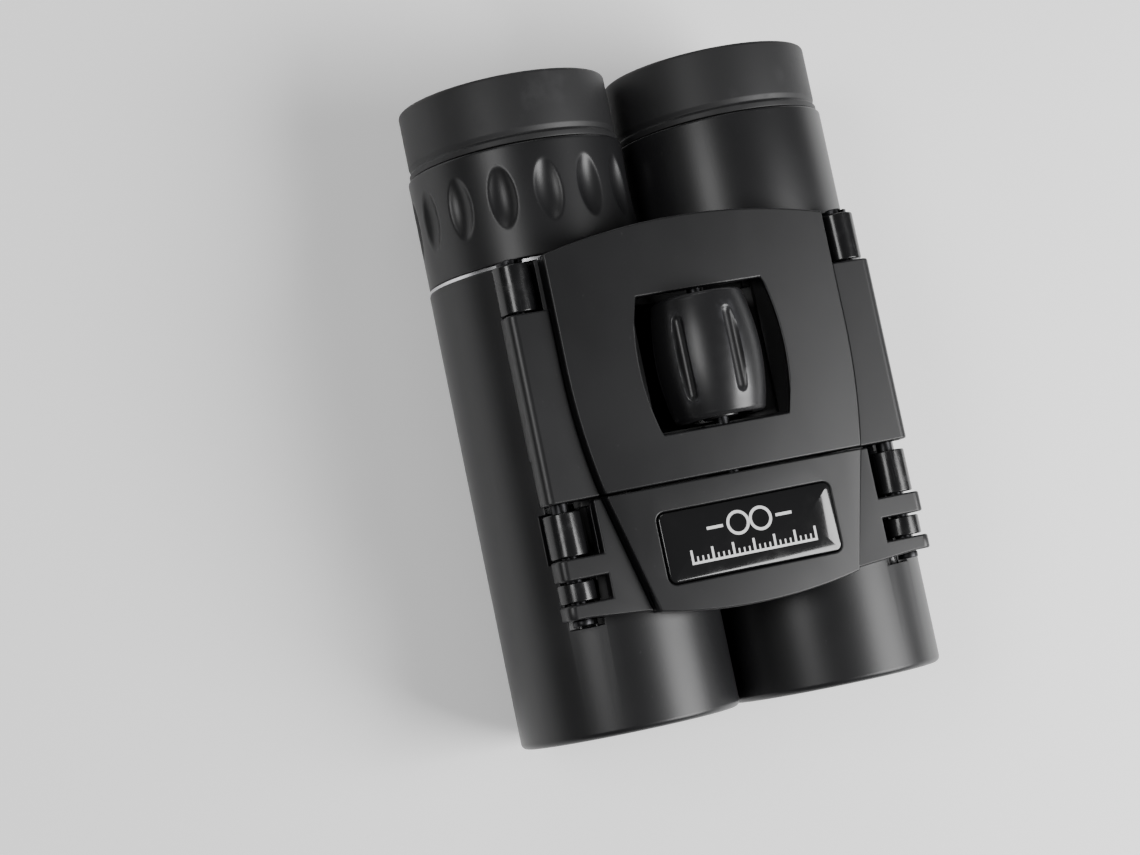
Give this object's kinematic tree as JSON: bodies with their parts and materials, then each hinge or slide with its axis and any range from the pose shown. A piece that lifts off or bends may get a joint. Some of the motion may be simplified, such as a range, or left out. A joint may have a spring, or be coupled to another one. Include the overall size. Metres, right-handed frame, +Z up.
{
  "type": "folding pocket binoculars",
  "caption": "Folding pocket binoculars: two satin black roof prism barrels swing on hinges beside a bridge with a grooved central focus wheel; dioptre ring on the right eyepiece.",
  "frame": {"origin": "middle of the folded pair's outline, on the surface that both barrels lie on", "axes": "+X to the user's right, towards the barrel with the dioptre ring; +Y along the optical axes, from eyecups to objectives; +Z up, through the bridge and the focus wheel"},
  "size_m": [0.0658, 0.096, 0.0429],
  "materials": {
    "soft_touch": "satin soft-touch coating over moulded plastic",
    "inner_plastic": "matt moulded plastic",
    "gloss_black": "polished",
    "wheel_plastic": "satin gloss",
    "eyecup_rubber": "matt rubber",
    "silver_trim": "bright",
    "black_trim": "matt",
    "steel": "plain",
    "black_steel": "blackened",
    "cast_alloy": "die cast",
    "black_metal": "matt black anodised",
    "objective_glass": "coated lens",
    "eye_glass": "coated lens",
    "prism_glass": "clear"
  },
  "bodies": {
    "bridge": {"bridge_frame": "inner_plastic", "top_cover": "soft_touch", "front_cover": "soft_touch", "nameplate": "gloss_black", "under_cover": "inner_plastic", "cover_screws": "black_steel", "right_hinge_pin": "black_steel", "left_hinge_pin": "black_steel", "hinge_pin_clips": "black_steel", "spindle_bushes": "black_steel"},
    "focus_wheel_set": {"focus_wheel": "wheel_plastic", "focus_spindle": "black_steel", "wheel_grub_screw": "steel"},
    "focus_yoke_slider": {"focus_yoke": "cast_alloy"},
    "right_barrel": {"right_barrel_tube": "gloss_black", "right_barrel_sleeve": "soft_touch", "right_trim_ring": "silver_trim", "right_thread_tube": "cast_alloy", "right_prism_cage": "inner_plastic", "right_half_prism": "prism_glass", "right_roof_prism": "prism_glass", "right_prism_spring": "steel", "right_objective_hood": "black_metal"},
    "right_objective": {"right_focus_arm": "cast_alloy", "right_objective_cell": "black_metal", "right_crown_lens": "objective_glass", "right_flint_lens": "objective_glass", "right_lens_ring": "black_metal"},
    "left_barrel": {"left_barrel_tube": "gloss_black", "left_barrel_sleeve": "soft_touch", "left_trim_ring": "black_trim", "left_thread_tube": "cast_alloy", "left_prism_cage": "inner_plastic", "left_half_prism": "prism_glass", "left_roof_prism": "prism_glass", "left_prism_spring": "steel", "left_objective_hood": "black_metal", "left_eyepiece_sleeve": "soft_touch", "left_eyecup": "eyecup_rubber", "left_eyepiece_cell": "black_metal", "left_eye_lens": "eye_glass", "left_field_lens": "eye_glass", "left_field_stop": "black_metal", "left_eyepiece_retainer": "black_metal"},
    "left_objective": {"left_focus_arm": "cast_alloy", "left_objective_cell": "black_metal", "left_crown_lens": "objective_glass", "left_flint_lens": "objective_glass", "left_lens_ring": "black_metal"},
    "dioptre_set": {"dioptre_ring": "soft_touch", "right_eyecup": "eyecup_rubber"},
    "right_eyepiece": {"right_eyepiece_cell": "black_metal", "right_eye_lens": "eye_glass", "right_field_lens": "eye_glass", "right_field_stop": "black_metal", "right_eyepiece_retainer": "black_metal"}
  },
  "joints": [
    {"name": "right_barrel_hinge", "type": "hinge", "parent": "bridge", "child": "right_barrel", "pos_m": [0.0256, 0, 0.0322], "axis": [0, -1, 0], "range_deg": [0, 70]},
    {"name": "left_barrel_hinge", "type": "hinge", "parent": "bridge", "child": "left_barrel", "pos_m": [-0.0256, 0, 0.0322], "axis": [0, 1, 0], "range_deg": [0, 70]},
    {"name": "focus_wheel_turn", "type": "hinge", "parent": "bridge", "child": "focus_wheel_set", "pos_m": [0, 0, 0.0352], "axis": [0, 1, 0], "range_deg": [-144, 144]},
    {"name": "focus_yoke_slide", "type": "slide", "parent": "bridge", "child": "focus_yoke_slider", "axis": [0, 1, 0], "range_m": [-0.0012, 0.0012]},
    {"name": "right_objective_slide", "type": "slide", "parent": "right_barrel", "child": "right_objective", "axis": [0, 1, 0], "range_m": [-0.0012, 0.0012]},
    {"name": "left_objective_slide", "type": "slide", "parent": "left_barrel", "child": "left_objective", "axis": [0, 1, 0], "range_m": [-0.0012, 0.0012]},
    {"name": "dioptre_ring_turn", "type": "hinge", "parent": "right_barrel", "child": "dioptre_set", "pos_m": [0.01655, 0, 0.0164], "axis": [0, 1, 0], "range_deg": [-45, 45]},
    {"name": "right_eyepiece_slide", "type": "slide", "parent": "right_barrel", "child": "right_eyepiece", "axis": [0, 1, 0], "range_m": [-0.0006, 0.0006]}
  ],
  "couplings": [
    {"joint": "focus_wheel_turn", "follows": "focus_yoke_slide", "rad_per_m": 2094.4},
    {"joint": "right_objective_slide", "follows": "focus_yoke_slide", "ratio": 1},
    {"joint": "left_objective_slide", "follows": "focus_yoke_slide", "ratio": 1},
    {"joint": "dioptre_ring_turn", "follows": "right_eyepiece_slide", "rad_per_m": 1309}
  ]
}
